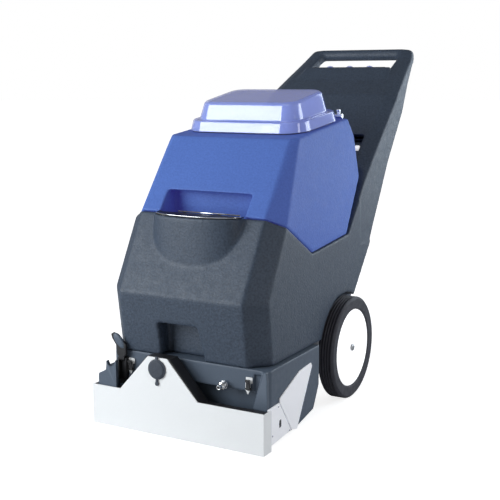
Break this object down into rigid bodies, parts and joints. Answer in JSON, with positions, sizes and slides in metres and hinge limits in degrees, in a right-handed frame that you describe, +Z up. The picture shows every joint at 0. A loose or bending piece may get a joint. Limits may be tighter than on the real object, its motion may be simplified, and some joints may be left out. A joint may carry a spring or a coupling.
{
  "type": "carpet cleaner machine",
  "caption": "Walk-behind carpet extractor with nested tanks, clear domed lid, leaning handle column, brush deck, front vacuum shoe and rear wheels.",
  "frame": {"origin": "middle of the footprint, on the floor", "axes": "+Z up, -Y towards the vacuum shoe at the machine's front, +Y towards the operator, +X across to the machine's left as the operator stands behind it"},
  "size_m": [0.459, 1.057, 0.8785],
  "materials": {
    "black_body": "fine moulded grain",
    "blue_tank": "fine moulded grain",
    "clear_lid": "clear moulded, polished",
    "slate_plastic": "moulded satin",
    "black_plastic": "moulded satin",
    "white_plate": "powder coat, smooth",
    "grey_plate": "powder coat, smooth",
    "soft_rubber": "matt",
    "tyre_rubber": "matt, ribbed tread",
    "white_plastic": "moulded satin",
    "steel": "machined",
    "motor_case": "cast, plain",
    "chrome_trim": "polished",
    "brass_fitting": "machined",
    "bristle_nylon": "nylon filament"
  },
  "bodies": {
    "machine": {"main_body": "black_body", "rear_door": "black_body", "switch_boot_1": "clear_lid", "switch_boot_2": "clear_lid", "switch_boot_3": "clear_lid", "chassis": "slate_plastic", "control_plate": "black_plastic", "hour_meter": "black_plastic", "cord_inlet_gland": "black_plastic", "lever_bracket": "black_plastic", "exhaust_muffler": "black_plastic", "latch_plate_left": "white_plate", "latch_plate_right": "white_plate", "deck_plate_left": "grey_plate", "deck_plate_right": "grey_plate", "side_panel_left": "grey_plate", "side_panel_right": "grey_plate", "drive_belt": "soft_rubber", "suction_hose": "soft_rubber", "fill_strainer": "white_plastic", "tank_stop_knob": "white_plastic", "fill_lid_pin": "steel", "axle": "steel", "brush_bearing_left": "steel", "brush_bearing_right": "steel", "brush_motor": "motor_case", "vacuum_motor": "motor_case", "solution_pump": "motor_case", "quick_coupling": "chrome_trim", "spray_bar": "brass_fitting"},
    "recovery_tank_set": {"recovery_tank": "blue_tank", "vacuum_riser": "black_plastic", "inlet_riser": "black_plastic", "float_cage": "black_plastic"},
    "lid_set": {"recovery_lid": "clear_lid", "lid_gasket": "soft_rubber"},
    "lid_clip_left_arm": {"lid_clip_left": "chrome_trim"},
    "lid_clip_right_arm": {"lid_clip_right": "chrome_trim"},
    "float": {"float_ball": "white_plastic"},
    "fill_lid_leaf": {"fill_lid": "black_plastic"},
    "rocker_1_paddle": {"rocker_1": "black_plastic"},
    "rocker_2_paddle": {"rocker_2": "black_plastic"},
    "rocker_3_paddle": {"rocker_3": "black_plastic"},
    "breaker": {"breaker_button": "soft_rubber"},
    "wheel_left": {"tyre_left": "tyre_rubber", "wheel_disc_left": "white_plastic", "axle_cap_left": "steel"},
    "wheel_right": {"tyre_right": "tyre_rubber", "wheel_disc_right": "white_plastic", "axle_cap_right": "steel"},
    "brush": {"brush_core": "black_plastic", "brush_bristles": "bristle_nylon", "brush_pulley": "black_plastic"},
    "motor_rotor": {"motor_pulley": "steel"},
    "shoe": {"front_plate": "white_plate", "shoe_duct": "black_plastic"},
    "cap": {"cleanout_cap": "soft_rubber"},
    "latch_left": {"latch_lever_left": "black_plastic"},
    "latch_right": {"latch_lever_right": "black_plastic"},
    "lever": {"height_lever": "black_plastic"}
  },
  "joints": [
    {"name": "tank_lift", "type": "slide", "parent": "machine", "child": "recovery_tank_set", "axis": [0, 0, 1], "range_m": [0, 0.15]},
    {"name": "lid_lift", "type": "slide", "parent": "recovery_tank_set", "child": "lid_set", "axis": [0, 0, 1], "range_m": [0, 0.09]},
    {"name": "float_rise", "type": "slide", "parent": "recovery_tank_set", "child": "float", "axis": [0, 0, 1], "range_m": [0, 0.016]},
    {"name": "fill_lid_hinge", "type": "hinge", "parent": "machine", "child": "fill_lid_leaf", "pos_m": [0, -0.40005, 0.4936], "axis": [1, 0, 0], "range_deg": [-88, 0]},
    {"name": "breaker_press", "type": "slide", "parent": "machine", "child": "breaker", "axis": [0, -0.6709, -0.7415], "range_m": [0, 0.0025]},
    {"name": "brush_spin", "type": "hinge", "parent": "machine", "child": "brush", "pos_m": [0, -0.40205, 0.044], "axis": [1, 0, 0], "continuous": true},
    {"name": "motor_spin", "type": "hinge", "parent": "machine", "child": "motor_rotor", "pos_m": [-0.185, -0.29405, 0.078], "axis": [1, 0, 0], "continuous": true},
    {"name": "shoe_float", "type": "slide", "parent": "machine", "child": "shoe", "axis": [0, 0, 1], "range_m": [0, 0.012]},
    {"name": "cap_pull", "type": "slide", "parent": "shoe", "child": "cap", "axis": [0, -1, 0], "range_m": [0, 0.03]},
    {"name": "lever_swing", "type": "hinge", "parent": "machine", "child": "lever", "pos_m": [-0.166, -0.48605, 0.152], "axis": [1, 0, 0], "range_deg": [0, 35]},
    {"name": "lid_clip_left_swing", "type": "hinge", "parent": "recovery_tank_set", "child": "lid_clip_left_arm", "pos_m": [-0.144, 0.02648, 0.69913], "axis": [1, 0, 0], "range_deg": [-70, 0]},
    {"name": "wheel_left_spin", "type": "hinge", "parent": "machine", "child": "wheel_left", "pos_m": [-0.208, -0.05405, 0.128], "axis": [1, 0, 0], "continuous": true},
    {"name": "latch_left_swing", "type": "hinge", "parent": "machine", "child": "latch_left", "pos_m": [-0.143, -0.48405, 0.131], "axis": [1, 0, 0], "range_deg": [0, 85]},
    {"name": "lid_clip_right_swing", "type": "hinge", "parent": "recovery_tank_set", "child": "lid_clip_right_arm", "pos_m": [0.144, 0.02648, 0.69913], "axis": [1, 0, 0], "range_deg": [-70, 0]},
    {"name": "wheel_right_spin", "type": "hinge", "parent": "machine", "child": "wheel_right", "pos_m": [0.208, -0.05405, 0.128], "axis": [1, 0, 0], "continuous": true},
    {"name": "latch_right_swing", "type": "hinge", "parent": "machine", "child": "latch_right", "pos_m": [0.167, -0.48405, 0.131], "axis": [1, 0, 0], "range_deg": [0, 85]},
    {"name": "rocker_1_tilt", "type": "hinge", "parent": "machine", "child": "rocker_1_paddle", "pos_m": [-0.062, 0.42396, 0.81743], "axis": [1, 0, 0], "range_deg": [-12, 12]},
    {"name": "rocker_2_tilt", "type": "hinge", "parent": "machine", "child": "rocker_2_paddle", "pos_m": [0, 0.42396, 0.81743], "axis": [1, 0, 0], "range_deg": [-12, 12]},
    {"name": "rocker_3_tilt", "type": "hinge", "parent": "machine", "child": "rocker_3_paddle", "pos_m": [0.062, 0.42396, 0.81743], "axis": [1, 0, 0], "range_deg": [-12, 12]}
  ],
  "couplings": [
    {"joint": "motor_spin", "follows": "brush_spin", "ratio": 2.2308}
  ]
}
